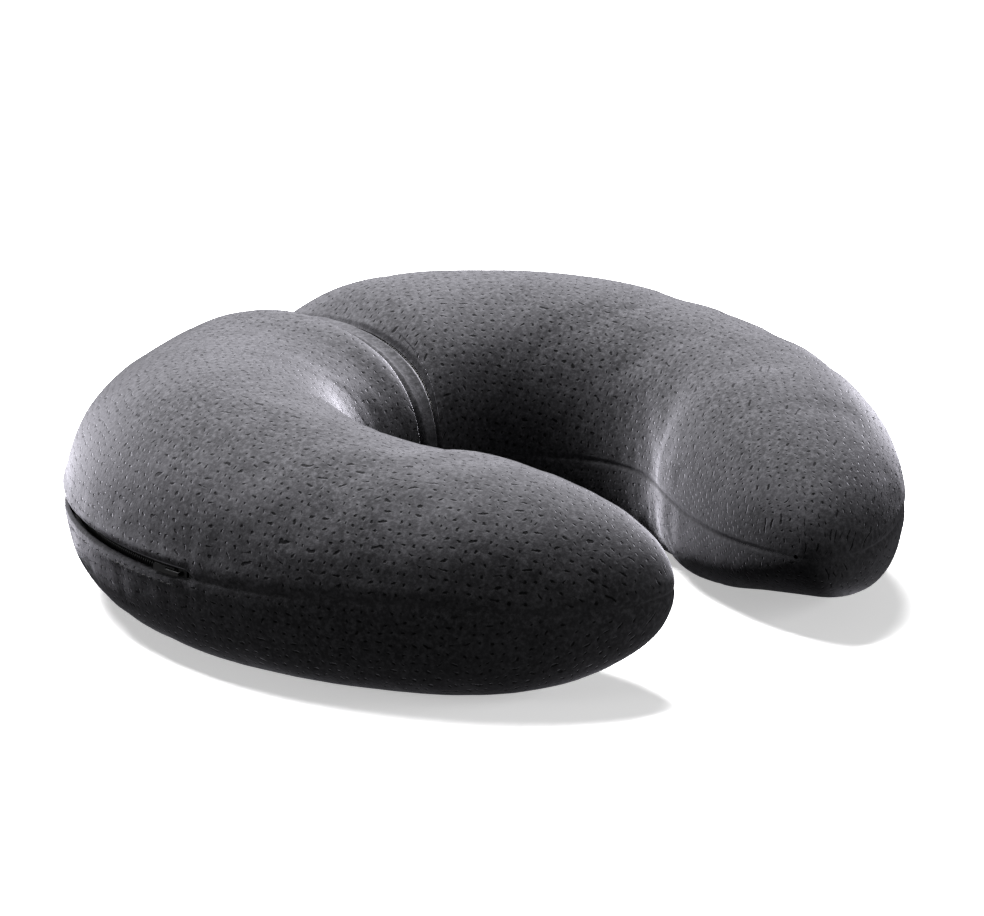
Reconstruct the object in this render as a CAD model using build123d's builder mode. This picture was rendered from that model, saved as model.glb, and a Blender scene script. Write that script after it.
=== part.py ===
"""U-shaped travel neck pillow: a moulded foam core in a knit liner, inside a zip-off velour cover.

Row frame, in millimetres: +Z up, the pillow lying flat on Z = 0. While it is being drawn, the Z axis
is the centre of the round back, the nape lies on +Y and the two arms close round the neck towards -Y.
Angles round the pillow are measured from +Y, positive towards +X, so the left arm's are negative.
Every piece is moved by ROW_SHIFT as it is written, which puts the origin under the middle of the box.
"""

from build123d import *
from math import cos, exp, radians, sin, sqrt
import os

# ---------------------------------------------------------------- driving dimensions, mm and degrees
BACK_RADIUS = 150.0  # plan radius of the outer seam all round the back
ARM_GROWTH = 4.0  # the arms bulge this much further out ...
ARM_GROWTH_FROM, ARM_GROWTH_TO = 100.0, 160.0  # ... between these angles
NECK_RADIUS = 26.0  # from the Z axis to the inner seam at the nape
NECK_GROWTH = 19.5  # how much further out the inner seam lies at the sides
NECK_SQUARENESS = 4.0  # makes the neck hole rounder than a plain cosine does
TIP_ANGLE = 165.4  # the end of each arm
CLOSING_ANGLE = 130.0  # where an arm starts to round off towards its end
TIP_SPREAD = 16.5  # how far the end of an arm turns outwards
SEAM_HEIGHT = 35.0  # the plane of the seam between the upper and lower covers
SEAM_BAND = 1.7  # the wall stands upright this far above and below the seam
CROWN_HEIGHT = 90.0  # base figure for the top of the pillow
CROWN_FALL = 10.0  # the arms are lower than the back
CROWN_LOBE = 3.0  # fullness of the two shoulders
CROWN_WAVE = 1.5
NAPE_DIP = 4.0  # the waist where the nape band pulls the cover in
NAPE_DIP_ANGLE = 14.0
SOLE_SHARE = 0.35  # how much of the width rests flat
SOLE_TRIM = 0.05  # cut off below so that the sole is a true plane
ROW_SHIFT = 8.4  # from the centre of the round back to the middle of the whole outline

OUTER_UPPER, INNER_UPPER = 0.562, 0.650  # fullness of the section's four quarters:
OUTER_LOWER, INNER_LOWER = 0.690, 0.700  # 0.552 is an ellipse, 1 is a rectangle
WIDTH_CLOSING, HEIGHT_CLOSING = 0.92, 0.87  # how bluntly an arm's end closes; 1 is an ellipse

COVER = 1.2  # velour thickness
LINER_INSETS = (1.8, 2.3)
FOAM_INSET = 2.6
SEAM_GAP = 0.8  # between two sewn panel edges
THREAD_INSETS = (0.2, 0.9)  # the seam thread lies in that gap
THREAD = 0.5
FRONT_SEAM = 2.6  # the turned-in edges that close the lips in front of the zip
LINER_GAP = 0.2
NAPE_BAND_WIDTH = 6.5

ZIP_LIP_GAP = 3.2
ZIP_ANGLE = 96.0  # the lips are open from -ZIP_ANGLE to +ZIP_ANGLE round the back
TAPE = 0.5
TAPE_DEPTH = 4.6  # below the outer seam, behind the coils
TAPE_SLIT = 0.6  # from the seam plane to the edge of either tape
TAPE_BEND = 4.2  # height at which a tape turns out towards the cover
TAPE_TOP = (8.6, 2.1)  # height and depth of its sewn edge
COIL_DEPTHS = (2.9, 4.4)
COIL_HEIGHTS = (0.55, 2.3)
COIL_ENDS = (-95.2, 94.2)
TOP_STOP = (-95.9, -95.35)
BOTTOM_STOP = (94.4, 95.2)
ZIP_CHANNEL_DEPTH = 8.0  # room that the zip presses into the foam
ZIP_CHANNEL_HALF = 9.8
ZIP_CHANNEL_ANGLE = 98.0
STITCH_HEIGHT = 4.7  # from the seam to either row of topstitching
STITCH_DEPTHS = (-0.4, -0.05)  # a negative depth stands proud of the cover
BARTACK_ANGLES = (96.3, 96.65)
BARTACK_HALF = 4.0

SLIDER_ANGLE = -93.6  # where the closed zip's slider is parked
SLIDER_LENGTH = 9.5
SLIDER_HALF = 3.0
SLIDER_OUTER = (1.5, 2.5)  # depths of the slider's two plates
SLIDER_INNER = (5.45, 6.4)
SLIDER_POST_LENGTH = 3.0
SLIDER_POST_HALF = 0.25
BRIDGE_LENGTH = 6.4
BRIDGE_HALF = 0.6
BRIDGE_TOP = -1.1
BRIDGE_THICKNESS = 0.6
PIN_DEPTH = 0.35
PIN_RADIUS = 0.45
PULL_LENGTH = 10.0
PULL_WINDOW = 3.9  # the pull's eye, long enough to swing over the bridge
PULL_HALF = 1.35
PULL_ARM = 0.45


# ------------------------------------------------------------------------------- shape of the pillow
def outer_radius(angle):
    share = (abs(angle) - ARM_GROWTH_FROM) / (ARM_GROWTH_TO - ARM_GROWTH_FROM)
    return BACK_RADIUS + ARM_GROWTH * max(0.0, share) ** 2


def inner_radius(angle):
    turn = radians(angle)
    return NECK_RADIUS + NECK_GROWTH * (1 - cos(turn)) + NECK_SQUARENESS * (1 - cos(2 * turn))


def crown(angle):
    """Height of the top before an arm rounds off."""
    turn = radians(angle)
    height = CROWN_HEIGHT - CROWN_FALL * (1 - cos(turn))
    height += CROWN_LOBE * (1 - cos(3 * turn)) + CROWN_WAVE * (1 - cos(2 * turn))
    return height - NAPE_DIP * exp(-((angle / NAPE_DIP_ANGLE) ** 2))


def tip_radius():
    return (outer_radius(TIP_ANGLE) + inner_radius(TIP_ANGLE)) / 2 + TIP_SPREAD


def closing(angle, inset):
    """1 along the arm, falling to 0 at its end. The end moves back by the inset."""
    end = TIP_ANGLE - inset / radians(1) / tip_radius()
    share = max(0.0, (abs(angle) - CLOSING_ANGLE) / (end - CLOSING_ANGLE))
    return sqrt(max(0.0, 1 - share**2))


def section_angles(inset):
    """Every 10 degrees along an arm, then closer and closer towards its rounded end."""
    end = TIP_ANGLE - inset / radians(1) / tip_radius()
    along = [10.0 * i for i in range(int(CLOSING_ANGLE / 10) + 1)]
    return along + [
        CLOSING_ANGLE + (end - CLOSING_ANGLE) * sin(radians(share)) for share in (17, 33, 48, 61, 72, 81, 86)
    ]


def seam_middle(angle, inset):
    """The radius half way between the two seams, and half the distance between them."""
    rest = closing(angle, inset)
    half = (outer_radius(angle) - inner_radius(angle)) / 2 * rest**WIDTH_CLOSING - inset
    return (outer_radius(angle) + inner_radius(angle)) / 2 + TIP_SPREAD * (1 - rest), half


def radial_plane(angle):
    """A plane through the Z axis: its x runs outwards at that angle and its y runs up."""
    turn = radians(angle)
    return Plane(origin=(0, 0, 0), x_dir=(sin(turn), cos(turn), 0), z_dir=(cos(turn), -sin(turn), 0))


def nape_plane(across):
    """A plane across the pillow beside the nape band, laid out like the radial planes."""
    return Plane(origin=(across, 0, 0), x_dir=(0, 1, 0), z_dir=(1, 0, 0))


def draw_arch(angle, inset, side, bases):
    """Draws half a section, above the seam (side 1) or below it (side -1), and returns its two ends.

    From each end an upright line and a Bezier run to the crown, or to the edge of the flat sole.
    """
    rest = closing(angle, inset)
    middle, half = seam_middle(angle, inset)
    band = SEAM_BAND * rest**HEIGHT_CLOSING
    reach = (crown(angle) - SEAM_HEIGHT if side > 0 else SEAM_HEIGHT + SOLE_TRIM) * rest**HEIGHT_CLOSING
    rise = side * (reach - band - inset)
    flat = 0 if side > 0 else SOLE_SHARE
    start = SEAM_HEIGHT + side * band
    for across, base, fullness in (
        (half, bases[0], OUTER_UPPER if side > 0 else OUTER_LOWER),
        (-half, bases[1], INNER_UPPER if side > 0 else INNER_LOWER),
    ):
        Line((middle + across, base), (middle + across, start))
        Bezier(
            (middle + across, start),
            (middle + across, start + rise * fullness),
            (middle + across * (flat + (1 - flat) * fullness), start + rise),
            (middle + across * flat, start + rise),
        )
    if flat:
        Line((middle - half * flat, start + rise), (middle + half * flat, start + rise))
    return (middle + half, bases[0]), (middle - half, bases[1])


def solid_profile(angle, inset):
    with BuildSketch(radial_plane(angle)) as section:
        with BuildLine():
            draw_arch(angle, inset, 1, (SEAM_HEIGHT, SEAM_HEIGHT))
            draw_arch(angle, inset, -1, (SEAM_HEIGHT, SEAM_HEIGHT))
        make_face()
    return section.sketch


def skin_profile(angle, insets, side, gap, plane=None):
    """The section of one panel: the band between two insets, ending half a gap from the seam.

    Its outer edge stands further off, which leaves the lips for the zip.
    """
    rest = closing(angle, insets[1])
    bases = [SEAM_HEIGHT + side * width / 2 * rest for width in (ZIP_LIP_GAP, gap)]
    with BuildSketch(plane or radial_plane(angle)) as section:
        with BuildLine():
            outer, inner = (draw_arch(angle, inset, side, bases) for inset in insets)
            for near, far in zip(outer, inner):
                Line(near, far)
        make_face()
    return section.sketch


def seam_profile(angle, side):
    """The sewn seam's section. In front of the zip (side 1) it fills the lips; on the neck side it is thread."""
    middle, half = seam_middle(angle, (THREAD_INSETS[0] + THREAD_INSETS[1]) / 2)
    height = FRONT_SEAM if side > 0 else THREAD
    with BuildSketch(radial_plane(angle)) as section:
        with Locations((middle + side * half, SEAM_HEIGHT)):
            Rectangle(THREAD_INSETS[1] - THREAD_INSETS[0], height * closing(angle, THREAD_INSETS[1]))
    return section.sketch


def both_arms(angles):
    return [-angle for angle in reversed(angles[1:])] + angles


def panel(insets, side, gap):
    """A panel from the end of one arm to the end of the other."""
    with BuildPart() as skin:
        loft([skin_profile(angle, insets, side, gap) for angle in both_arms(section_angles(insets[1]))])
    return skin.part


def nape_strip(insets, low, high):
    """The upper panel's section at the nape, drawn out between two upright planes."""
    with BuildPart() as strip:
        extrude(skin_profile(0, insets, 1, SEAM_GAP, nape_plane(low)), amount=high - low)
    return strip.part


def zip_bar(outline, ends):
    """A bar along the zip between two angles. Its outline is (height from the seam, depth) points."""
    with BuildPart() as bar:
        with BuildSketch(radial_plane(ends[0])):
            with BuildLine():
                Polyline([(BACK_RADIUS - depth, SEAM_HEIGHT + height) for height, depth in outline], close=True)
            make_face()
        revolve(axis=Axis((0, 0, 0), (0, 0, -1)), revolution_arc=ends[1] - ends[0])
    return bar.part


def zip_box(heights, depths, ends):
    corners = [(heights[0], depths[0]), (heights[1], depths[0]), (heights[1], depths[1]), (heights[0], depths[1])]
    return zip_bar(corners, ends)


def save(piece, name):
    piece.part.label = name
    export_step(piece.part.moved(Location((0, -ROW_SHIFT, 0))), f"parts/{name}.step")


os.makedirs("parts", exist_ok=True)
proud = -BACK_RADIUS / 50  # a depth well outside the cover
channel = zip_box(
    (-ZIP_CHANNEL_HALF, ZIP_CHANNEL_HALF), (proud, ZIP_CHANNEL_DEPTH), (-ZIP_CHANNEL_ANGLE, ZIP_CHANNEL_ANGLE)
)

# ------------------------------------------------------------------------------------ foam and liner
with BuildPart() as foam_core:
    loft([solid_profile(angle, FOAM_INSET) for angle in both_arms(section_angles(FOAM_INSET))])
    add(channel, mode=Mode.SUBTRACT)
save(foam_core, "foam_core")

for side, name in ((-1, "liner_lower"), (1, "liner_upper")):
    with BuildPart() as liner:
        add(panel(LINER_INSETS, side, LINER_GAP))
        add(channel, mode=Mode.SUBTRACT)
    save(liner, name)

# ---------------------------------------------------------------------------------- the velour cover
with BuildPart() as cover_lower:
    add(panel((0.0, COVER), -1, SEAM_GAP))
    split(bisect_by=Plane.XY, keep=Keep.TOP)
save(cover_lower, "cover_lower")

band_edge = NAPE_BAND_WIDTH / 2
with BuildPart() as cover_upper_right:
    nape = skin_profile(0, (0.0, COVER), 1, SEAM_GAP, nape_plane(band_edge + SEAM_GAP))
    loft([nape] + [skin_profile(angle, (0.0, COVER), 1, SEAM_GAP) for angle in section_angles(COVER)[2:]])
save(cover_upper_right, "cover_upper_right")

with BuildPart() as cover_upper_left:
    mirror(cover_upper_right.part, about=Plane.YZ)
save(cover_upper_left, "cover_upper_left")

with BuildPart() as nape_band:
    add(nape_strip((0.0, COVER), -band_edge, band_edge))
save(nape_band, "nape_band")

# -------------------------------------------------------------------------------------- seam threads
for side, name in ((-1, "nape_thread_left"), (1, "nape_thread_right")):
    middle = side * (band_edge + SEAM_GAP / 2)
    with BuildPart() as nape_thread:
        add(nape_strip(THREAD_INSETS, middle - THREAD / 2, middle + THREAD / 2))
    save(nape_thread, name)

seam_angles = section_angles(THREAD_INSETS[1])
front_angles = [ZIP_CHANNEL_ANGLE] + [angle for angle in seam_angles if angle > ZIP_CHANNEL_ANGLE]
for side, place, angles in ((-1, "neck", seam_angles), (1, "front", front_angles)):
    with BuildPart() as seam_right:
        loft([seam_profile(angle, side) for angle in angles])
    save(seam_right, f"seam_{place}_right")
    with BuildPart() as seam_left:
        mirror(seam_right.part, about=Plane.YZ)
    save(seam_left, f"seam_{place}_left")

for side, name in ((-1, "zip_topstitch_lower"), (1, "zip_topstitch_upper")):
    row = (side * STITCH_HEIGHT - THREAD / 2, side * STITCH_HEIGHT + THREAD / 2)
    with BuildPart() as topstitch:
        add(zip_box(row, STITCH_DEPTHS, (-ZIP_ANGLE, ZIP_ANGLE)))
    save(topstitch, name)

for side, name in ((-1, "zip_bartack_left"), (1, "zip_bartack_right")):
    with BuildPart() as bartack:
        ends = sorted(side * angle for angle in BARTACK_ANGLES)
        add(zip_box((-BARTACK_HALF, BARTACK_HALF), STITCH_DEPTHS, ends))
    save(bartack, name)

# ------------------------------------------------------------------------------------------- the zip
tape_outline = (
    (TAPE_SLIT, TAPE_DEPTH),
    (TAPE_BEND, TAPE_DEPTH),
    TAPE_TOP,
    (TAPE_TOP[0], TAPE_TOP[1] + TAPE),
    (TAPE_BEND, TAPE_DEPTH + TAPE),
    (TAPE_SLIT, TAPE_DEPTH + TAPE),
)
for side, name in ((-1, "lower"), (1, "upper")):
    with BuildPart() as tape:
        add(zip_bar([(side * height, depth) for height, depth in tape_outline], (-ZIP_ANGLE, ZIP_ANGLE)))
    save(tape, f"zip_tape_{name}")
    with BuildPart() as coil:
        add(zip_box([side * height for height in COIL_HEIGHTS], COIL_DEPTHS, COIL_ENDS))
    save(coil, f"zip_coil_{name}")

with BuildPart() as top_stops:
    for side in (-1, 1):
        add(zip_box([side * height for height in COIL_HEIGHTS], COIL_DEPTHS, TOP_STOP))
save(top_stops, "zip_top_stops")

with BuildPart() as bottom_stop:
    add(zip_box((-COIL_HEIGHTS[1], COIL_HEIGHTS[1]), COIL_DEPTHS, BOTTOM_STOP))
save(bottom_stop, "zip_bottom_stop")

# ------------------------------------------------------------------------------- slider and pull tab
turn = radians(SLIDER_ANGLE)
slider_plane = Plane(
    origin=(BACK_RADIUS * sin(turn), BACK_RADIUS * cos(turn), SEAM_HEIGHT),
    x_dir=(cos(turn), -sin(turn), 0),
    z_dir=(sin(turn), cos(turn), 0),
)  # x runs along the zip towards the nape, y down, z outwards


def slider_block(length, half, depths, along=0.0, mode=Mode.ADD):
    with BuildSketch(slider_plane.offset(-depths[1])) as outline:
        with Locations((along, 0)):
            Rectangle(length, 2 * half)
    extrude(outline.sketch, amount=depths[1] - depths[0], mode=mode)


with BuildPart() as slider:
    slider_block(SLIDER_LENGTH, SLIDER_HALF, SLIDER_OUTER)
    slider_block(SLIDER_LENGTH, SLIDER_HALF, SLIDER_INNER)
    fillet(slider.edges().filter_by(Axis(slider_plane.origin, slider_plane.z_dir)), SLIDER_HALF / 2)
    post_place = (SLIDER_POST_LENGTH - SLIDER_LENGTH) / 2
    slider_block(SLIDER_POST_LENGTH, SLIDER_POST_HALF, (SLIDER_OUTER[0], SLIDER_INNER[1]), post_place)
    slider_block(BRIDGE_LENGTH, BRIDGE_HALF, (BRIDGE_TOP, SLIDER_OUTER[1]))
    opening = BRIDGE_LENGTH - 2 * BRIDGE_THICKNESS
    slider_block(opening, BRIDGE_HALF, (BRIDGE_TOP + BRIDGE_THICKNESS, SLIDER_OUTER[0]), mode=Mode.SUBTRACT)
save(slider, "zip_slider")

with BuildPart() as pull:
    pull_depths = (PIN_DEPTH - PIN_RADIUS, PIN_DEPTH + PIN_RADIUS)
    slider_block(PULL_LENGTH, PULL_HALF, pull_depths, PULL_LENGTH / 2)
    slider_block(PULL_WINDOW, PULL_HALF - PULL_ARM, pull_depths, PULL_WINDOW / 2, Mode.SUBTRACT)
    upright = pull.edges().filter_by(Axis(slider_plane.origin, slider_plane.z_dir))
    fillet(upright.group_by(Axis(slider_plane.origin, slider_plane.x_dir))[-1], PULL_HALF * 0.8)
    pin_centre = slider_plane.from_local_coords((0, 0, -PIN_DEPTH))
    with BuildSketch(Plane(origin=pin_centre, x_dir=slider_plane.x_dir, z_dir=(0, 0, 1))):
        Circle(PIN_RADIUS)
    extrude(amount=PULL_HALF, both=True)
save(pull, "zip_pull")
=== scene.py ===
"""U-shaped travel neck pillow: charcoal velour cover with a zip round the back and a nape band.

The shape follows the CAD part: sections in upright planes through the centre of the round back.
Angles are in degrees from +Y (the nape), positive towards +X. Lengths are in millimetres until the
meshes are made.
"""

import math
from itertools import pairwise

import bpy
import numpy as np
from mathutils import Matrix, Vector


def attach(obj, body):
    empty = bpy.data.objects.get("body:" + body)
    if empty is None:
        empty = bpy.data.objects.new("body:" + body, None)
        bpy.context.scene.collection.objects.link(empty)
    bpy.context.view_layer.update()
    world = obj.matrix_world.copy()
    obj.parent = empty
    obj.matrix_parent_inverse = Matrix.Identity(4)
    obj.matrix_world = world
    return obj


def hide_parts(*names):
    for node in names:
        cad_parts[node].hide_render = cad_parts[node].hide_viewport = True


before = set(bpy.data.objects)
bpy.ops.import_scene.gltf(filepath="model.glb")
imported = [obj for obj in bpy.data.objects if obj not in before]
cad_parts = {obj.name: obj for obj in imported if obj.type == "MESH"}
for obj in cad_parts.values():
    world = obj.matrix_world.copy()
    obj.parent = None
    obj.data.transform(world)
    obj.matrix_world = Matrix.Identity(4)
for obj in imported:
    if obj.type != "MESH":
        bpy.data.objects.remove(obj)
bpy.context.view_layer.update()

# ------------------------------------------------------------------------------------ dimensions, mm
MM = 0.001
BACK_RADIUS = 150.0
ROW_SHIFT = 8.4  # the box's middle lies this far in front of the round back's centre
NECK_RADIUS, NECK_GROWTH, NECK_SQUARENESS = 26.0, 19.5, 4.0
ARM_GROWTH, ARM_GROWTH_START, ARM_GROWTH_SPAN = 4.0, 100, 60
TIP_ANGLE, CLOSING_ANGLE, TIP_SPREAD = 165.4, 130.0, 16.5
SEAM_HEIGHT, SOLE_HEIGHT = 35.0, 0.05
CROWN_HEIGHT = 88.8
ZIP_ANGLE = 96.0
TOPSTITCH = 4.7  # from the zip's middle to each row
LIP_OPENING = 1.45  # how far each lip stands off the zip's middle, so that the pull clears it
BAND_HALF = 3.3
PANEL_START = 3.9  # the upper panels begin this far to the side of the nape
NAPE_SEAM = 3.6  # and the threads of the band's seams lie this far to the side
PIT_ROW, PIT_STEP = 3.5, 4.3
UPPER_ROWS, LOWER_ROWS, BAND_ROWS, THREAD_POINTS = 110, 90, 150, 120
COLUMN_STEP, NAPE_STEP, NAPE_END = 0.6, 0.3, 6.0  # degrees
RELIEF_COLUMNS, RELIEF_ROWS, RELIEF_ANGLE = 150, 34, 158
RELIEF_WINDOW, RELIEF_SHARE, RELIEF_CAP, LAST_FRAME = 43, 0.28, 0.7, 16
LAYER_ROWS, LAYER_STEP, LAYER_ANGLE = 40, 2.0, 162


def bump(angle, middle, width):
    """A smooth hill of height 1."""
    return np.exp(-(((angle - middle) / width) ** 2))


def smooth(value, low, high):
    """A smooth step from 0 at low to 1 at high."""
    share = np.clip((value - low) / (high - low), 0.0, 1.0)
    return share * share * (3 - 2 * share)


# ------------------------------------------------------------------------------------------- surface
def outer_radius(angle):
    past = np.clip((np.abs(angle) - ARM_GROWTH_START) / ARM_GROWTH_SPAN, 0, None)
    return BACK_RADIUS + ARM_GROWTH * past**2


def inner_radius(angle):
    turn = np.radians(angle)
    return NECK_RADIUS + NECK_GROWTH * (1 - np.cos(turn)) + NECK_SQUARENESS * (1 - np.cos(2 * turn))


def seam_height(angle):
    """The seam rides up in the middle of the left arm and sags at the right arm's tip."""
    height = SEAM_HEIGHT + 2.2 * bump(angle, -126, 15) - 1.0 * bump(angle, -150, 12)
    return height - 5.0 * bump(angle, 162, 16)


def crown(angle):
    """The top's height: low at the nape, where the band pulls it in, and uneven from arm to arm."""
    turn = np.radians(angle)
    height = CROWN_HEIGHT - 10 * (1 - np.cos(turn))
    height = height + 3 * (1 - np.cos(3 * turn)) + 1.5 * (1 - np.cos(2 * turn))
    height -= 7.5 * bump(angle, 0, 9) - 4.4 * bump(angle, 118, 26)
    return height - 2.4 * bump(angle, -30, 18) - 5.5 * bump(angle, -50, 26) + 2.0 * bump(angle, 24, 14)


def section_point(angle, fold, side):
    """A point of the section, from fold 0 at the outer seam over 1 at the crown to 2 at the neck seam.

    side is 1 for the upper half and -1 for the lower one, which has a flat sole.
    """
    share = np.clip((np.abs(angle) - CLOSING_ANGLE) / (TIP_ANGLE - CLOSING_ANGLE), 0, 1)
    rest = np.sqrt(np.clip(1 - share**2, 0, None))
    half = (outer_radius(angle) - inner_radius(angle)) / 2 * rest**0.92
    middle = (outer_radius(angle) + inner_radius(angle)) / 2 + TIP_SPREAD * (1 - rest)
    seam = seam_height(angle)
    if side > 0:
        reach, flat, fullness = (crown(angle) - seam) * rest**0.87, 0.0, (0.562, 0.650)
    else:
        floor = 2.2 * smooth(angle, 128, 162) + 0.8 * smooth(-angle, 140, 165)
        reach, flat, fullness = (seam - floor) * rest**0.87, 0.35, (0.672, 0.700)
    outer = fold <= 1
    u = np.where(outer, fold, 2 - fold)
    full = np.where(outer, fullness[0], fullness[1])
    sign = np.where(outer, 1.0, -1.0)
    u1, u2, u3 = 3 * (1 - u) ** 2 * u, 3 * (1 - u) * u**2, u**3
    across = (1 - u) ** 3 + u1 + u2 * (flat + (1 - flat) * full) + u3 * flat
    up = u1 * full + u2 + u3
    radius = middle + sign * half * across
    turn = np.radians(angle)
    return np.stack([radius * np.sin(turn), radius * np.cos(turn), seam + side * reach * up], axis=-1)


def fold_table(angle, side, shares):
    """Folds at the wanted shares of the arch's length at one angle, and the running length."""
    fold = np.linspace(0, 2, 401)
    points = section_point(np.full_like(fold, angle), fold, side)
    run = np.concatenate([[0], np.cumsum(np.linalg.norm(np.diff(points, axis=0), axis=1))])
    return np.interp(shares * run[-1], run, fold), run


def section_grid(angles, side, shares):
    """Points over (angle, share of the arch's length)."""
    return np.stack(
        [section_point(np.full(len(shares), v), fold_table(v, side, shares)[0], side) for v in angles]
    )


def beside_nape(places, fold):
    """Points of the upper half over (place, fold), where a place is a distance to the side of the nape."""
    radius = np.linalg.norm(section_point(np.zeros(len(fold)), fold, 1)[:, :2], axis=1)
    return np.stack([section_point(np.degrees(np.arcsin(x / radius)), fold, 1) for x in places])


def edge_spacing(count):
    """Fractions along the arch, closer together near both edges."""
    share = np.linspace(0, 1, count)
    return share - 0.135 * np.sin(2 * np.pi * share)


def waves(angle, seed, lengths, radius):
    """A sum of sines along the seam whose wavelengths are given in millimetres."""
    rng = np.random.default_rng(seed)
    total = np.zeros_like(angle)
    for length in lengths:
        drift = 0.35 * np.sin(np.radians(angle) * rng.uniform(3, 9) + rng.uniform(0, 6.28))
        phase = np.radians(angle) * radius / length * 2 * np.pi
        wave = np.sin(phase * (1 + 0.02 * drift) + 3 * drift + rng.uniform(0, 6.28))
        total += wave * rng.uniform(0.6, 1.0)
    return total / len(lengths)


def normals(grid):
    """Unit normals of a grid of points, on the side that its directions give."""
    along = np.gradient(grid, axis=0)
    across = np.gradient(grid, axis=1)
    cross = np.cross(along, across)
    return cross / np.maximum(np.linalg.norm(cross, axis=-1, keepdims=True), 1e-9)


def outward_normals(grid, side):
    """Unit normals that point out of the half that the grid belongs to."""
    facing = normals(grid)
    middle = facing[len(grid) // 2, grid.shape[1] // 2, 2]
    return -facing if middle * side < 0 else facing


def grid_quads(columns, rows):
    index = np.arange(columns * rows).reshape(columns, rows)
    return np.stack([index[:-1, :-1], index[1:, :-1], index[1:, 1:], index[:-1, 1:]], axis=-1).reshape(-1, 4)


def cloth_relief(side):
    """Lets a slightly too large cover buckle between its held seams, as simulated cloth.

    Returns the angles, the shares of the way from the outer seam to the neck seam, and how far the
    cloth moved outwards there, in millimetres, without its broad swelling.
    """
    angles = np.linspace(-RELIEF_ANGLE, RELIEF_ANGLE, RELIEF_COLUMNS)
    shares = np.linspace(0, 1, RELIEF_ROWS)
    grid = section_grid(angles, side, shares)
    outer_pull = waves(angles, 5, (9, 13, 21), BACK_RADIUS)[:, None] * np.exp(-shares * 14) * 0.35
    inner_pull = waves(angles, 6, (11, 17), 60)[:, None] * np.exp(-(1 - shares) * 14) * 0.3
    start = grid + normals(grid) * (outer_pull + inner_pull)[..., None]
    piece = grid_piece("cover_draft", start, THREAD)
    index = np.arange(grid.shape[0] * grid.shape[1]).reshape(grid.shape[:2])
    held = piece.vertex_groups.new(name="held")
    held.add(index[:, [0, -1]].ravel().tolist() + index[[0, -1]].ravel().tolist(), 1.0, "REPLACE")
    held.add(index[1:-1, 1:-1].ravel().tolist(), 0.12, "REPLACE")
    modifier = piece.modifiers.new("cloth", "CLOTH")
    cloth = modifier.settings
    cloth.quality = 6
    cloth.mass = 0.2
    cloth.tension_stiffness = cloth.compression_stiffness = 25
    cloth.shear_stiffness = 12
    cloth.bending_stiffness = 0.8
    cloth.vertex_group_mass = "held"
    cloth.shrink_min = -0.035
    cloth.effector_weights.gravity = 0
    for number in range(1, LAST_FRAME + 1):
        bpy.context.scene.frame_set(number)
    settled = piece.evaluated_get(bpy.context.evaluated_depsgraph_get()).to_mesh()
    flat = np.zeros(len(settled.vertices) * 3)
    settled.vertices.foreach_get("co", flat)
    after = flat.reshape(grid.shape) / MM
    bpy.context.scene.frame_set(1)
    bpy.data.objects.remove(piece)
    after[..., 1] += ROW_SHIFT
    moved = np.einsum("ijk,ijk->ij", after - grid, outward_normals(grid, side))
    window = np.hanning(RELIEF_WINDOW) / np.hanning(RELIEF_WINDOW).sum()
    edge = RELIEF_WINDOW // 2
    padded = np.pad(moved, ((edge, edge), (0, 0)), mode="edge")
    broad = np.stack([np.convolve(row, window, mode="valid") for row in padded.T], axis=1)
    moved = np.clip(RELIEF_SHARE * (moved - broad), -RELIEF_CAP, RELIEF_CAP)
    return angles, shares, moved * np.sin(np.pi * shares) ** 0.35


def read_relief(relief, angles, shares):
    """Reads the relief at any angle and share, smoothly between its grid's points."""
    grid_angles, grid_shares, moved = relief
    columns, rows = moved.shape
    column = np.clip(np.interp(angles, grid_angles, np.arange(columns)), 0, columns - 1.001)
    row = np.clip(np.interp(shares, grid_shares, np.arange(rows)), 0, rows - 1.001)
    i, j = column.astype(int), row.astype(int)
    u, v = column - i, row - j
    u, v = u * u * (3 - 2 * u), v * v * (3 - 2 * v)
    low = moved[i, j] * (1 - v) + moved[i, j + 1] * v
    high = moved[i + 1, j] * (1 - v) + moved[i + 1, j + 1] * v
    return (low * (1 - u) + high * u) * smooth(155 - np.abs(angles), 0, 14)


def panel_grid(columns, side, rows):
    """Points of a panel over (column, row), their angles, and how far each is from the outer seam.

    Columns are angles. In the upper half they bend near the nape, so that the first one is parallel
    to the band.
    """
    spread = edge_spacing(rows)
    nape_fold, _ = fold_table(0.0, side, spread)
    nape_radius = np.linalg.norm(section_point(np.zeros(rows), nape_fold, side)[:, :2], axis=1)
    points = np.zeros((len(columns), rows, 3))
    angles = np.zeros((len(columns), rows))
    for index, column in enumerate(columns):
        fold, _ = fold_table(column, side, spread)
        angle = np.full(rows, column)
        if side > 0:
            first = math.degrees(PANEL_START / BACK_RADIUS)
            own = np.degrees(np.arcsin(np.clip(PANEL_START / nape_radius, 0, 0.9)))
            pull = np.clip(1 - (abs(column) - first) / 28, 0, 1) ** 2
            angle = angle + np.sign(column) * (own - first) * pull
        points[index] = section_point(angle, fold, side)
        angles[index] = angle
    steps = np.linalg.norm(np.diff(points, axis=1), axis=2)
    run = np.concatenate([np.zeros((len(columns), 1)), np.cumsum(steps, axis=1)], axis=1)
    return points, angles, run


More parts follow.
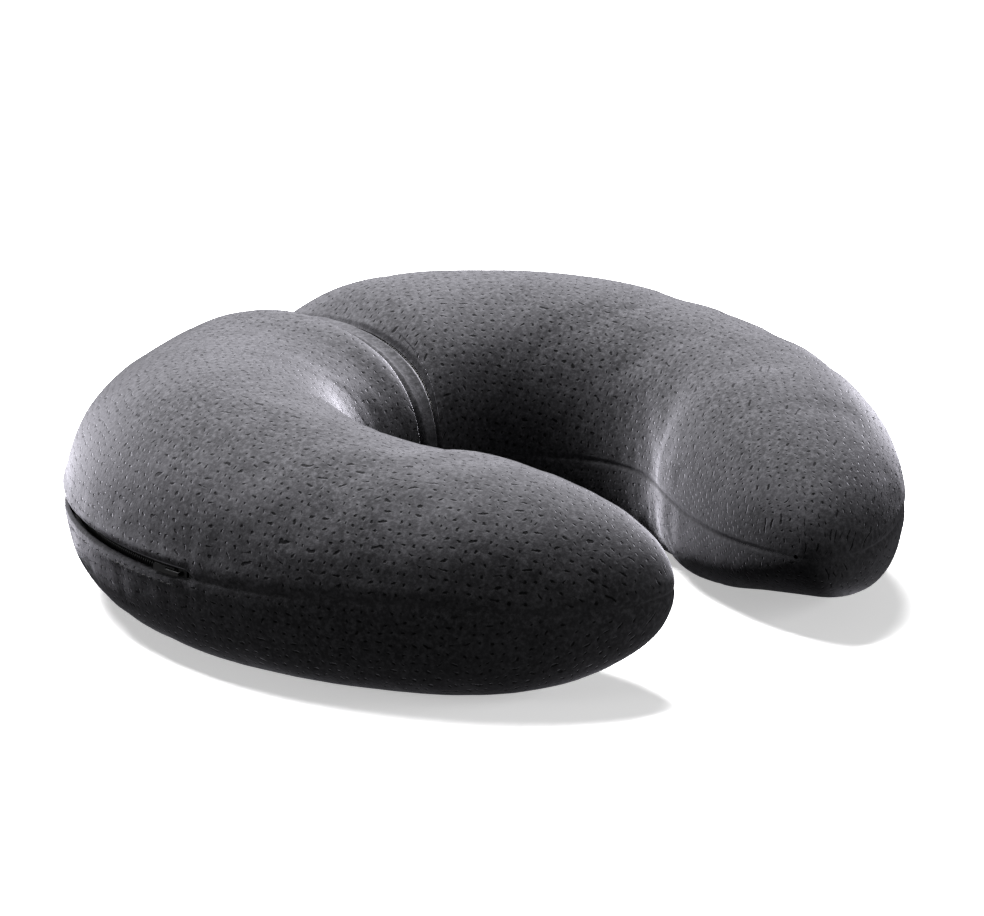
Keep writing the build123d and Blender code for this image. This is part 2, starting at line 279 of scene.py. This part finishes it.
def edge_moves(angles, outer, inner, size, side):
    """How the panel's two edges dip into their seams and swell and pucker beside them."""
    in_zip = smooth(ZIP_ANGLE + 0.5 - np.abs(angles), 0, 0.9)
    move = -0.35 * (1 - smooth(inner, 0, 1.8)) ** 1.5 * size
    move += -(1 - in_zip) * 0.45 * (1 - smooth(outer, 0, 1.8)) ** 1.5 * size
    move += -in_zip * 1.1 * (1 - smooth(outer, 0, 1.3)) ** 1.4
    swell = (0.3 + 0.5 * in_zip * (side > 0)) * np.exp(-(((outer - 4) / 3) ** 2)) * size
    pucker = waves(angles, 3 + side, (4.2, 5.7, 8.1), BACK_RADIUS) * 0.06
    pucker *= np.exp(-outer / 12) * smooth(outer, 0, 3) * (0.35 + 0.9 * smooth(np.abs(angles), 88, 104))
    near = waves(angles, 8 + side, (7.1, 9.3, 14.0), 60) * 0.12
    near *= np.exp(-inner / 12) * smooth(inner, 0, 3)
    gather = bump(np.abs(angles), 97.7, 1.1) * np.exp(-outer / 11) * 0.35
    gather -= bump(np.abs(angles), 96.3, 0.7) * np.exp(-outer / 10) * 0.35
    lip = in_zip * (1 - smooth(outer, 0, 7.0)) * LIP_OPENING
    return move + (swell + pucker + near + gather) * size, lip


def dress(points, angles, run, side):
    """Adds seams, lips, puckers, soft unevenness and the simulated relief to a panel's grid."""
    length = run[:, -1:]
    outer, inner = run, length - run
    size = np.clip(length / 60, 0.02, 1)
    move, lip = edge_moves(angles, outer, inner, size, side)
    middle = np.sin(np.pi * outer / length) * size
    move = move + 0.32 * waves(angles, 21, (47, 71, 103), 90) * middle
    move = move + 0.15 * waves(angles + run, 33, (38, 57), 100) * middle
    move = move + read_relief(RELIEF[side], angles, outer / length)
    if side > 0:
        beside = np.abs(points[..., 0]) - PANEL_START
        valley = np.exp(-((beside / 9.0) ** 2)) + 1 - smooth(beside, 0, 1.8)
        move = move - 1.5 * valley * (points[..., 1] > 0) * smooth(outer, 0, 6)
        crease = np.exp(-(((angles - 118 - (run - length / 2) * 0.16) / 6.5) ** 2))
        move = move - 0.12 * crease * smooth(outer, 10, 60) * smooth(inner, 2, 25)
    else:
        # the sole stays flat on the floor
        move = move * (1 - 0.85 * smooth(-points[..., 2], -7.0, -1.0))
    dressed = points + outward_normals(points, side) * move[..., None]
    dressed[..., 2] += side * lip
    if side < 0:
        dressed[..., 2] = np.maximum(dressed[..., 2], SOLE_HEIGHT)
    return dressed


def pit_maps(points, angles, run):
    """Where each point lies along its row of pits, in which row, and how far the rows slip."""
    radius = np.linalg.norm(points[..., :2], axis=-1)
    row = (run - run[:, -1:] * 0.5) / PIT_ROW
    step = np.radians(angles) * radius / PIT_STEP
    slip = np.gradient(step, axis=1) / np.maximum(np.gradient(row, axis=1), 1e-6)
    return step, row, np.clip(slip, -12, 12)


# -------------------------------------------------------------------------------------------- meshes
def finish_mesh(mesh, name, material):
    piece = bpy.data.objects.new(name, mesh)
    bpy.context.scene.collection.objects.link(piece)
    mesh.materials.append(material)
    mesh.polygons.foreach_set("use_smooth", [True] * len(mesh.polygons))
    return piece


def grid_piece(name, points, material, maps=None, flip=False):
    """A mesh from a grid of points in millimetres about the centre of the round back."""
    place = points.reshape(-1, 3).copy()
    place[:, 1] -= ROW_SHIFT
    quads = grid_quads(*points.shape[:2])
    if flip:
        quads = quads[:, ::-1]
    mesh = bpy.data.meshes.new(name)
    mesh.from_pydata((place * MM).tolist(), [], quads.tolist())
    for layer, pair in (maps or {}).items():
        uv = mesh.uv_layers.new(name=layer)
        flat = np.stack([pair[0].ravel(), pair[1].ravel()], axis=-1)
        corners = np.zeros(len(mesh.loops), dtype=np.int64)
        mesh.loops.foreach_get("vertex_index", corners)
        uv.data.foreach_set("uv", flat[corners].ravel().astype(np.float32))
    return finish_mesh(mesh, name, material)


# ----------------------------------------------------------------------------------------- materials
class Nodes:
    """A short way to write node trees."""

    def __init__(self, name):
        self.material = bpy.data.materials.new(name)
        self.material.use_nodes = True
        self.tree = self.material.node_tree
        self.shader = self.tree.nodes["Principled BSDF"]

    def add(self, kind, inputs=None, **settings):
        node = self.tree.nodes.new(kind)
        for key, value in settings.items():
            setattr(node, key, value)
        for key, value in (inputs or {}).items():
            if isinstance(value, bpy.types.NodeSocket):
                self.tree.links.new(value, node.inputs[key])
            else:
                node.inputs[key].default_value = value
        return node

    def math(self, operation, first, second=0.0, third=0.0):
        return self.add("ShaderNodeMath", {0: first, 1: second, 2: third}, operation=operation).outputs[0]

    def set(self, **values):
        for key, value in values.items():
            socket = self.shader.inputs[key.replace("_", " ")]
            if isinstance(value, bpy.types.NodeSocket):
                self.tree.links.new(value, socket)
            else:
                socket.default_value = value

    def noise(self, scale, detail=3.0, roughness=0.5):
        place = self.add("ShaderNodeTexCoord").outputs["Object"]
        settings = {"Vector": place, "Scale": scale, "Detail": detail, "Roughness": roughness}
        return self.add("ShaderNodeTexNoise", settings).outputs[0]

    def mix(self, factor, first, second):
        node = self.tree.nodes.new("ShaderNodeMix")
        node.data_type = "RGBA"
        for index, value in ((0, factor), (6, first), (7, second)):
            if isinstance(value, bpy.types.NodeSocket):
                self.tree.links.new(value, node.inputs[index])
            else:
                node.inputs[index].default_value = value
        return node.outputs[2]

    def ramp(self, value, low, high):
        settings = {"Value": value, "From Min": low, "From Max": high}
        return self.add("ShaderNodeMapRange", settings, interpolation_type="SMOOTHSTEP").outputs[0]


def velour(name, pits=True):
    """Short charcoal pile, with or without its staggered, uneven rows of small pits, which are darkened with
    painted shade.

    The pits are placed by two UV maps. "pits" holds the place along the row and the row's number.
    "slip" holds how far one row's pits slip against the next one's, and where there are pits.
    """
    n = Nodes(name)
    pile = n.noise(1500, 2.0, 0.6)
    grain = n.noise(620, 3.0, 0.65)
    patch = n.noise(95, 4.0, 0.6)
    broad = n.noise(22, 2.0)
    shade = n.math("ADD", n.math("MULTIPLY", patch, 0.5), n.math("MULTIPLY", broad, 0.5))
    colour = n.mix(n.ramp(shade, 0.35, 0.65), (0.0175, 0.0174, 0.0188, 1), (0.0265, 0.0263, 0.0285, 1))
    colour = n.mix(n.ramp(grain, 0.42, 0.72), colour, (0.046, 0.0457, 0.0495, 1))
    colour = n.mix(n.math("MULTIPLY", n.ramp(grain, 0.46, 0.30), 0.5), colour, (0.009, 0.0089, 0.0096, 1))
    height = n.math("ADD", n.math("MULTIPLY", pile, 0.16), n.math("MULTIPLY", grain, 0.42))
    if pits:
        uv = n.add("ShaderNodeSeparateXYZ", {0: n.add("ShaderNodeUVMap", uv_map="pits").outputs[0]}).outputs
        slip = n.add("ShaderNodeSeparateXYZ", {0: n.add("ShaderNodeUVMap", uv_map="slip").outputs[0]}).outputs
        wander = n.math("MULTIPLY", n.math("SUBTRACT", n.noise(170, 1.0), 0.5), 1.7)
        drift = n.math("MULTIPLY", n.math("SUBTRACT", n.noise(140, 1.0, 0.3), 0.5), 1.4)
        line = n.math("ADD", uv[1], drift)
        row = n.math("ROUND", line)
        off = n.math("SUBTRACT", line, row)
        step = n.math("SUBTRACT", n.math("MULTIPLY_ADD", row, 0.5, uv[0]), n.math("MULTIPLY", slip[0], off))
        step = n.math("ADD", step, wander)
        along = n.math("MULTIPLY", n.math("SUBTRACT", step, n.math("ROUND", step)), PIT_STEP)
        across = n.math("MULTIPLY", off, PIT_ROW * 1.25)
        far = n.math("SQRT", n.math("ADD", n.math("POWER", along, 2.0), n.math("POWER", across, 2.0)))
        far = n.math("MULTIPLY_ADD", n.math("SUBTRACT", grain, 0.5), 0.9, far)
        pit_and_painted_shade = n.math("MULTIPLY", n.math("SUBTRACT", 1.0, n.ramp(far, 0.30, 0.88)), slip[1])
        # painted shade: the recessed pits are coloured near-black, on top of their real dip in the bump
        colour = n.mix(pit_and_painted_shade, colour, (0.0010, 0.0010, 0.0011, 1))
        height = n.math("SUBTRACT", height, n.math("MULTIPLY", pit_and_painted_shade, 0.9))
    settings = {"Height": height, "Strength": 0.5, "Distance": 0.0007}
    n.set(Base_Color=colour, Roughness=0.95, Normal=n.add("ShaderNodeBump", settings).outputs[0])
    n.set(Sheen_Weight=0.4, Sheen_Roughness=0.38, Sheen_Tint=(0.90, 0.885, 0.98, 1))
    n.set(Specular_IOR_Level=0.05)
    return n.material


def shaded(colour, share):
    return tuple(c * share for c in colour[:3]) + (1,)


def woven(name, colour, scale, roughness=0.85, depth=0.0003):
    """Tightly woven tape or thread."""
    n = Nodes(name)
    place = n.add("ShaderNodeTexCoord").outputs["Object"]
    weave = n.add("ShaderNodeTexVoronoi", {"Vector": place, "Scale": scale}).outputs["Distance"]
    n.set(Base_Color=n.mix(n.ramp(weave, 0.1, 0.6), colour, shaded(colour, 0.55)), Roughness=roughness)
    n.set(Normal=n.add("ShaderNodeBump", {"Height": weave, "Strength": 0.6, "Distance": depth}).outputs[0])
    n.set(Sheen_Weight=0.1)
    return n.material


def moulded(name, colour, roughness, metallic=0.0):
    """Finely grained nylon or painted metal."""
    n = Nodes(name)
    grain = n.noise(900, 3.0)
    n.set(Base_Color=n.mix(grain, colour, shaded(colour, 0.8)))
    n.set(Roughness=n.math("MULTIPLY_ADD", grain, 0.15, roughness), Metallic=metallic)
    n.set(Normal=n.add("ShaderNodeBump", {"Height": grain, "Strength": 0.15, "Distance": 0.0001}).outputs[0])
    return n.material


def foam_like(name, colour):
    """Open cells of foam."""
    n = Nodes(name)
    cells = n.noise(700, 4.0, 0.7)
    n.set(Base_Color=n.mix(cells, colour, shaded(colour, 0.75)), Roughness=0.95)
    n.set(Normal=n.add("ShaderNodeBump", {"Height": cells, "Strength": 0.5, "Distance": 0.0005}).outputs[0])
    return n.material


VELOUR = velour("charcoal_velour")
BAND_VELOUR = velour("band_velour", pits=False)
THREAD = woven("black_thread", (0.006, 0.006, 0.007, 1), 2600)
TAPE = woven("zip_tape", (0.008, 0.008, 0.009, 1), 1500)
COIL = moulded("nylon_coil", (0.010, 0.010, 0.011, 1), 0.35)
METAL = moulded("painted_metal", (0.010, 0.010, 0.011, 1), 0.5, 0.2)
FOAM = foam_like("memory_foam", (0.80, 0.76, 0.64, 1))
LINER = woven("knit_liner", (0.62, 0.62, 0.60, 1), 1300, depth=0.0002)


# --------------------------------------------------------------------------------------------- cover
RELIEF = {side: cloth_relief(side) for side in (1, -1)}


def even_columns(start):
    """Angles from start to the arm's end, closing up towards it."""
    straight = np.arange(start, CLOSING_ANGLE, COLUMN_STEP)
    closing = np.sin(np.radians(np.linspace(0, 89.4, 64)))
    return np.concatenate([straight, CLOSING_ANGLE + (TIP_ANGLE - CLOSING_ANGLE) * closing])


def make_panel(name, columns, side, rows, flip, node):
    points, angles, run = panel_grid(columns, side, rows)
    step, row, slip = pit_maps(points, angles, run)
    clear = smooth(run, 1.2, 3.2) * smooth(run[:, -1:] - run, 1.2, 3.2)
    if side > 0:
        # no pits beside the band, which is only behind the neck
        beside = np.abs(points[..., 0]) + 400 * (points[..., 1] < 0)
        clear = clear * smooth(beside, PANEL_START + 1, PANEL_START + 3)
    points = dress(points, angles, run, side)
    piece = grid_piece(name, points, VELOUR, {"pits": (step, row), "slip": (slip, clear)}, flip)
    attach(piece, "pillow")
    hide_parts(node)


first_column = math.degrees(PANEL_START / BACK_RADIUS)
right_columns = np.concatenate([np.arange(first_column, NAPE_END, NAPE_STEP), even_columns(NAPE_END)])
make_panel("cover_upper_right_soft", right_columns, 1, UPPER_ROWS, True, "cover_upper_right")
make_panel("cover_upper_left_soft", -right_columns, 1, UPPER_ROWS, False, "cover_upper_left")
half_columns = even_columns(COLUMN_STEP)
all_columns = np.concatenate([-half_columns[::-1], [0.0], half_columns])
make_panel("cover_lower_soft", all_columns, -1, LOWER_ROWS, False, "cover_lower")


def make_band():
    """The raised strip over the nape, crowned between its two seams."""
    spread = edge_spacing(BAND_ROWS)
    fold, run = fold_table(0.0, 1, spread)
    across = np.linspace(-BAND_HALF, BAND_HALF, 23)
    points = beside_nape(across, fold)
    share = np.abs(across[:, None]) / BAND_HALF
    distance = spread[None] * run[-1]
    ends = smooth(distance, 0, 3) * smooth(run[-1] - distance, 0, 3)
    lift = -0.9 - 2.2 * np.clip((share - 0.7) / 0.3, 0, 1) ** 2 - 0.35 * share**2
    lift = lift + 0.1 * np.sin(distance / 2.1) * share - 1.6 * (1 - ends)
    points = points + outward_normals(points, 1) * lift[..., None]
    zero = np.zeros(points.shape[:2])
    maps = {"pits": (zero, zero), "slip": (zero, zero)}
    piece = grid_piece("nape_band_soft", points, BAND_VELOUR, maps, True)
    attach(piece, "pillow")
    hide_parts("nape_band")


make_band()


# ----------------------------------------------------------------------------------- stitches and zip
def joined(name, shapes, material, node):
    """One mesh from many shapes, each (points, faces), which stands for a CAD node."""
    vertices, faces = [], []
    for points, quads in shapes:
        start = len(vertices)
        vertices.extend(points)
        faces.extend([tuple(start + i for i in quad) for quad in quads])
    mesh = bpy.data.meshes.new(name)
    place = np.array(vertices)
    place[:, 1] -= ROW_SHIFT
    mesh.from_pydata((place * MM).tolist(), [], faces)
    piece = finish_mesh(mesh, name, material)
    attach(piece, "pillow")
    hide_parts(node)
    return piece


# place along a stitch, its thickness there and how far it has sunk, both in radii
STATIONS = (
    (0.0, 0.35, -0.9),
    (0.12, 0.85, -0.25),
    (0.35, 1.0, 0.0),
    (0.65, 1.0, 0.0),
    (0.88, 0.85, -0.25),
    (1.0, 0.35, -0.9),
)


def capsule(start, end, out, radius, sides=6):
    """A thread lying from start to end, dipping in at both ends."""
    start, end, out = (np.array(v, float) for v in (start, end, out))
    axis = end - start
    cross = np.cross(axis / np.linalg.norm(axis), out)
    points, faces = [], []
    for share, size, sink in STATIONS:
        middle = start + axis * share + out * sink * radius
        for k in range(sides):
            turn = 2 * math.pi * k / sides
            points.append(middle + radius * size * (cross * math.cos(turn) + out * 0.8 * math.sin(turn)))
    for ring in range(len(STATIONS) - 1):
        for k in range(sides):
            a, b = ring * sides + k, ring * sides + (k + 1) % sides
            faces.append((a, b, b + sides, a + sides))
    faces.append(tuple(reversed(range(sides))))
    faces.append(tuple(range((len(STATIONS) - 1) * sides, len(STATIONS) * sides)))
    return points, faces


def on_back(angle, radius, height):
    turn = math.radians(angle)
    return (radius * math.sin(turn), radius * math.cos(turn), height)


def outward(angle):
    return on_back(angle, 1.0, 0.0)


def stitch_row(name, height, node):
    """The topstitching along one lip of the zip."""
    length, pitch = math.degrees(2.3 / BACK_RADIUS), math.degrees(3.3 / BACK_RADIUS)
    shapes = []
    for angle in np.arange(-ZIP_ANGLE + 0.4, ZIP_ANGLE - 0.4, pitch):
        ends = [on_back(a, BACK_RADIUS + 0.08, height) for a in (angle, angle + length)]
        shapes.append(capsule(*ends, outward(angle), 0.27, 8))
    joined(name, shapes, THREAD, node)


stitch_row("topstitch_lower_row", SEAM_HEIGHT - TOPSTITCH, "zip_topstitch_lower")
stitch_row("topstitch_upper_row", SEAM_HEIGHT + TOPSTITCH, "zip_topstitch_upper")


def coil_turns(name, side, node):
    """Slanted turns of nylon, each gripping the tape and reaching to the middle of the zip."""
    shapes = []
    for angle in np.arange(-95.2, 94.2, 0.5):
        inner = on_back(angle, BACK_RADIUS - 3.5, SEAM_HEIGHT + side * 0.35)
        outer = on_back(angle + 0.16, BACK_RADIUS - 3.4, SEAM_HEIGHT + side * 2.3)
        shapes.append(capsule(inner, outer, outward(angle), 0.42))
    joined(name, shapes, COIL, node)


coil_turns("coil_lower_turns", -1, "zip_coil_lower")
coil_turns("coil_upper_turns", 1, "zip_coil_upper")


def bartack(name, side, node):
    """A dense zigzag across the end of the zip."""
    shapes = []
    for height in np.arange(-3.6, 3.6, 0.42):
        angles = (side * 96.25, side * 96.8)
        heights = (SEAM_HEIGHT + height, SEAM_HEIGHT + height + 0.2)
        ends = [on_back(a, BACK_RADIUS - 0.5, z) for a, z in zip(angles, heights)]
        shapes.append(capsule(*ends, outward(side * 96.5), 0.24))
    joined(name, shapes, THREAD, node)


bartack("bartack_left_stitches", -1, "zip_bartack_left")
bartack("bartack_right_stitches", 1, "zip_bartack_right")



# ----------------------------------------------------------------------------------- foam and liner
def inner_layer(name, inset, sides, material, node):
    """The foam or the liner: the sections of the halves named, further in."""
    columns = np.arange(-LAYER_ANGLE, LAYER_ANGLE + 0.1, LAYER_STEP)
    shapes = []
    for side in sides:
        grid = section_grid(columns, side, np.linspace(0, 1, LAYER_ROWS))
        facing = outward_normals(grid, side)
        grid = grid - facing * inset
        # the zip's tapes and coils need room behind the back's outer seam
        back = (np.abs(columns) < 99)[:, None] & (np.linalg.norm(grid[..., :2], axis=-1) > 105)
        shrink = np.where(back, np.exp(-(((grid[..., 2] - SEAM_HEIGHT) / 12) ** 2)) * 8.5, 0)
        grid[..., :2] *= 1 - shrink[..., None] / BACK_RADIUS
        under_band = np.exp(-((grid[..., 0] / 11) ** 2)) * (grid[..., 1] > 0)
        grid = grid - facing * 2.0 * under_band[..., None]
        shapes.append((grid.reshape(-1, 3).tolist(), grid_quads(*grid.shape[:2]).tolist()))
    piece = joined(name, shapes, material, node)


inner_layer("foam_core_soft", 5.5, (1, -1), FOAM, "foam_core")
inner_layer("liner_upper_soft", 4.0, (1,), LINER, "liner_upper")
inner_layer("liner_lower_soft", 4.0, (-1,), LINER, "liner_lower")


# --------------------------------------------------------------------------------------- seam threads
def stitches_along(line, out, radius, reach):
    """Stitches from each point of a line some way towards the next one."""
    return [
        capsule(here, here * (1 - reach) + there * reach, up, radius)
        for (here, there), up in zip(pairwise(line), out)
    ]


def seam_thread(name, angles, fold, node):
    """Stitches deep in a seam: the outer seam is at fold 0 and the neck seam at fold 2."""
    line = section_point(angles, np.full_like(angles, fold), 1)
    middle = section_point(angles, np.full_like(angles, 1.0), 1) - line
    inward = middle / np.linalg.norm(middle, axis=1, keepdims=True)
    inward[:, 2] = 0
    joined(name, stitches_along(line + inward * 1.5, -inward, 0.2, 0.85), THREAD, node)


for side, word in ((-1, "left"), (1, "right")):
    seam_thread(f"front_seam_{word}_thread", side * np.arange(97, 164, 1.1), 0.0, f"seam_front_{word}")
    seam_thread(f"neck_seam_{word}_thread", side * np.arange(0.5, 164, 2.4), 2.0, f"seam_neck_{word}")


def nape_thread(name, place, node):
    """Stitches in the groove beside the nape band, at one distance to the side of the middle."""
    fold, _ = fold_table(0.0, 1, np.linspace(0.03, 0.97, THREAD_POINTS))
    grid = beside_nape((place - 0.5, place, place + 0.5), fold)
    facing = outward_normals(grid, 1)[1]
    joined(name, stitches_along(grid[1] - facing * 3.5, facing, 0.22, 0.8), THREAD, node)


nape_thread("nape_left_stitches", -NAPE_SEAM, "nape_thread_left")
nape_thread("nape_right_stitches", NAPE_SEAM, "nape_thread_right")

finishes = {
    "zip_tape_lower": TAPE,
    "zip_tape_upper": TAPE,
    "zip_top_stops": METAL,
    "zip_bottom_stop": METAL,
    "zip_slider": METAL,
    "zip_pull": METAL,
}
for node, material in finishes.items():
    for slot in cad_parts[node].material_slots:
        slot.material = material


# ---------------------------------------------------------------------------------- floor and lights
AZIMUTH, ELEVATION, ROLL = -43.75, 15.5, 0.975  # the camera's


def stage():
    """A pale floor that bends up behind the pillow, facing the camera. It lights nothing."""
    mesh = bpy.data.meshes.new("studio_floor")
    near, far, height, bend = -4.0, 2.4, 3.0, 0.9
    rows = [(near, 0.0), (far - bend, 0.0)]
    for k in range(1, 13):
        turn = math.radians(7.5 * k)
        rows.append((far - bend + bend * math.sin(turn), bend * (1 - math.cos(turn))))
    rows.append((far, height))
    facing = Matrix.Rotation(math.radians(-AZIMUTH), 3, "Z")
    vertices = [facing @ Vector((x, y, z)) for y, z in rows for x in (-5.0, 5.0)]
    faces = [(2 * k, 2 * k + 1, 2 * k + 3, 2 * k + 2) for k in range(len(rows) - 1)]
    mesh.from_pydata(vertices, [], faces)
    n = Nodes("pale_paper")
    n.set(Base_Color=n.mix(n.noise(3), (0.86, 0.86, 0.865, 1), (0.88, 0.88, 0.88, 1)), Roughness=0.9)
    n.set(Emission_Color=(1, 1, 1, 1), Emission_Strength=0.45)
    floor = finish_mesh(mesh, "studio_floor", n.material)
    floor.visible_diffuse = floor.visible_glossy = False


def area_light(name, place, target, size, power, colour=(1, 1, 1)):
    light = bpy.data.lights.new(name, "AREA")
    light.shape = "RECTANGLE"
    light.size, light.size_y = size
    light.energy = power
    light.color = colour
    lamp = bpy.data.objects.new(name, light)
    bpy.context.scene.collection.objects.link(lamp)
    lamp.location = place
    lamp.rotation_euler = (Vector(target) - Vector(place)).to_track_quat("-Z", "Y").to_euler()


stage()
area_light("softbox_top", (0.08, 0.75, 1.55), (0, 0, 0.04), (1.3, 1.1), 220, (1.0, 0.995, 1.0))
area_light("softbox_left", (-1.35, 0.20, 0.40), (0, 0, 0.04), (0.7, 0.5), 4.0)
area_light("softbox_front", (0.95, -1.3, 0.45), (0, 0, 0.05), (0.8, 0.6), 12.0)
world = bpy.data.worlds.new("studio")
world.use_nodes = True
world.node_tree.nodes["Background"].inputs[0].default_value = (1, 1, 1, 1)
world.node_tree.nodes["Background"].inputs[1].default_value = 0.09
bpy.context.scene.world = world
bpy.context.scene.view_settings.view_transform = "Standard"

# -------------------------------------------------------------------------------------------- camera
DISTANCE, LENS = 1.2594, 125.7
TARGET = Vector((0.01695, 0.01371 - ROW_SHIFT * MM, 0.0393))
a, e, r = (math.radians(v) for v in (AZIMUTH, ELEVATION, ROLL))
back = Vector((math.sin(a) * math.cos(e), -math.cos(a) * math.cos(e), math.sin(e)))
right = Vector((math.cos(a), math.sin(a), 0))
up = back.cross(right)
rolled_right = right * math.cos(r) + up * math.sin(r)
rolled_up = up * math.cos(r) - right * math.sin(r)
camera = bpy.data.objects.new("camera", bpy.data.cameras.new("camera"))
camera.data.lens, camera.data.sensor_width = LENS, 36
camera.data.clip_start = 0.05
camera.matrix_world = Matrix.Translation(TARGET + back * DISTANCE) @ Matrix(
    (rolled_right, rolled_up, back)
).transposed().to_4x4()
bpy.context.scene.collection.objects.link(camera)
bpy.context.scene.camera = camera
